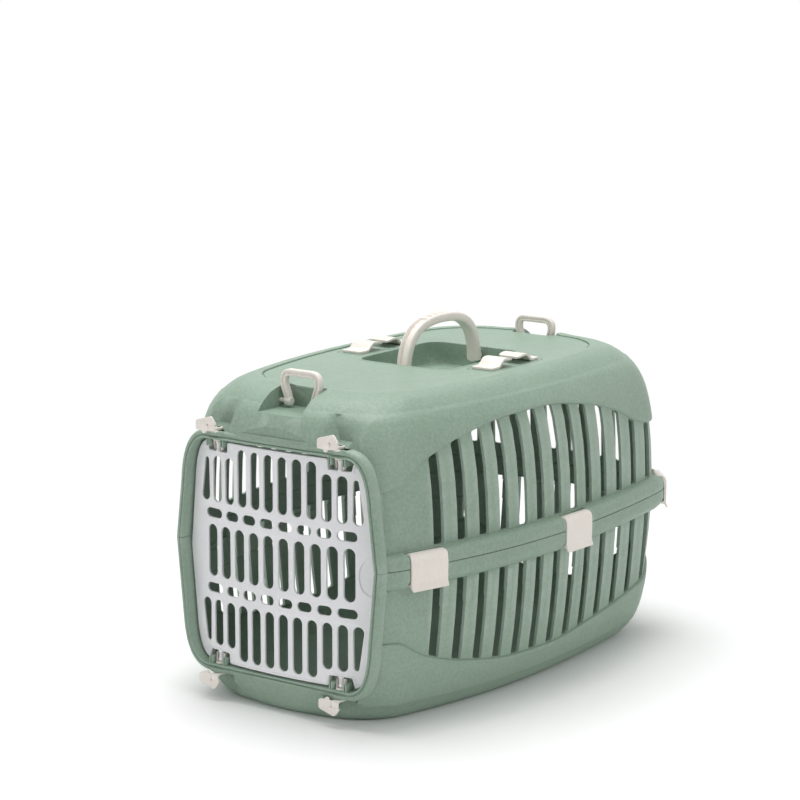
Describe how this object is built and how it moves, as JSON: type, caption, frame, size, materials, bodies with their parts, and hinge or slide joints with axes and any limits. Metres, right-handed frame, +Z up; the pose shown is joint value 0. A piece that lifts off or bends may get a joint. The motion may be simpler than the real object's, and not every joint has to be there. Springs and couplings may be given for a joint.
{
  "type": "pet carrier",
  "caption": "Two-part slatted plastic pet carrier with a lift-off lid, side clips, a grille door held by turning latches, a folding handle, strap loops and belt hooks.",
  "frame": {"origin": "middle of the underside of the base, on the ground", "axes": "+X to the right seen from the front, +Y to the rear, +Z up; the door faces -Y"},
  "size_m": [0.339, 0.5093, 0.3433],
  "materials": {
    "green_plastic": "fine matt grain outside, smoother inside",
    "beige_plastic": "satin",
    "door_plastic": "satin, slightly translucent"
  },
  "bodies": {
    "base": {"base_shell": "green_plastic"},
    "lid": {"lid_shell": "green_plastic", "belt_hook_front_left": "beige_plastic", "belt_hook_front_right": "beige_plastic", "belt_hook_rear_left": "beige_plastic", "belt_hook_rear_right": "beige_plastic"},
    "door": {"door": "door_plastic"},
    "latch_lid_left": {"latch_lid_left": "beige_plastic"},
    "latch_lid_right": {"latch_lid_right": "beige_plastic"},
    "latch_base_left": {"latch_base_left": "beige_plastic"},
    "latch_base_right": {"latch_base_right": "beige_plastic"},
    "clip_front_right": {"clip_front_right": "beige_plastic"},
    "clip_front_left": {"clip_front_left": "beige_plastic"},
    "clip_middle_right": {"clip_middle_right": "beige_plastic"},
    "clip_middle_left": {"clip_middle_left": "beige_plastic"},
    "clip_corner_right": {"clip_corner_right": "beige_plastic"},
    "clip_corner_left": {"clip_corner_left": "beige_plastic"},
    "clip_rear": {"clip_rear": "beige_plastic"},
    "main_handle": {"main_handle": "beige_plastic"},
    "strap_loop_front": {"strap_loop_front": "beige_plastic"},
    "strap_loop_rear": {"strap_loop_rear": "beige_plastic"}
  },
  "joints": [
    {"name": "lid_lift", "type": "slide", "parent": "base", "child": "lid", "axis": [0, 0, 1], "range_m": [0, 0.145]},
    {"name": "door_swing", "type": "hinge", "parent": "base", "child": "door", "pos_m": [-0.071, -0.24037, 0.142], "axis": [0, 0, -1], "range_deg": [0, 110]},
    {"name": "latch_lid_left_turn", "type": "hinge", "parent": "lid", "child": "latch_lid_left", "pos_m": [-0.071, -0.24037, 0.25], "axis": [0, 0, 1], "range_deg": [0, 90]},
    {"name": "latch_lid_right_turn", "type": "hinge", "parent": "lid", "child": "latch_lid_right", "pos_m": [0.071, -0.24037, 0.25], "axis": [0, 0, 1], "range_deg": [0, 90]},
    {"name": "latch_base_left_turn", "type": "hinge", "parent": "base", "child": "latch_base_left", "pos_m": [-0.071, -0.24037, 0.034], "axis": [0, 0, 1], "range_deg": [0, 90]},
    {"name": "latch_base_right_turn", "type": "hinge", "parent": "base", "child": "latch_base_right", "pos_m": [0.071, -0.24037, 0.034], "axis": [0, 0, 1], "range_deg": [0, 90]},
    {"name": "clip_front_right_swing", "type": "hinge", "parent": "lid", "child": "clip_front_right", "pos_m": [0.131, -0.19321, 0.1593], "axis": [-0.2723, -0.9622, 0], "range_deg": [0, 100]},
    {"name": "clip_front_left_swing", "type": "hinge", "parent": "lid", "child": "clip_front_left", "pos_m": [-0.131, -0.19321, 0.1593], "axis": [-0.2723, 0.9622, 0], "range_deg": [0, 100]},
    {"name": "clip_middle_right_swing", "type": "hinge", "parent": "lid", "child": "clip_middle_right", "pos_m": [0.16003, 0.00997, 0.1593], "axis": [-0.0351, -0.9994, 0], "range_deg": [0, 100]},
    {"name": "clip_middle_left_swing", "type": "hinge", "parent": "lid", "child": "clip_middle_left", "pos_m": [-0.16003, 0.00997, 0.1593], "axis": [-0.0351, 0.9994, 0], "range_deg": [0, 100]},
    {"name": "clip_corner_right_swing", "type": "hinge", "parent": "lid", "child": "clip_corner_right", "pos_m": [0.13298, 0.21145, 0.1593], "axis": [0.646, -0.7633, 0], "range_deg": [0, 100]},
    {"name": "clip_corner_left_swing", "type": "hinge", "parent": "lid", "child": "clip_corner_left", "pos_m": [-0.13298, 0.21145, 0.1593], "axis": [0.646, 0.7633, 0], "range_deg": [0, 100]},
    {"name": "clip_rear_swing", "type": "hinge", "parent": "lid", "child": "clip_rear", "pos_m": [0, 0.2475, 0.1593], "axis": [1, 0, 0], "range_deg": [0, 100]},
    {"name": "main_handle_fold", "type": "hinge", "parent": "lid", "child": "main_handle", "pos_m": [0, 0.012, 0.2913], "axis": [0, 1, 0], "range_deg": [-85, 85]},
    {"name": "strap_loop_front_tip", "type": "hinge", "parent": "lid", "child": "strap_loop_front", "pos_m": [0, -0.206, 0.2863], "axis": [1, 0, 0], "range_deg": [-20, 90]},
    {"name": "strap_loop_rear_tip", "type": "hinge", "parent": "lid", "child": "strap_loop_rear", "pos_m": [0, 0.183, 0.2863], "axis": [-1, 0, 0], "range_deg": [-20, 90]}
  ]
}
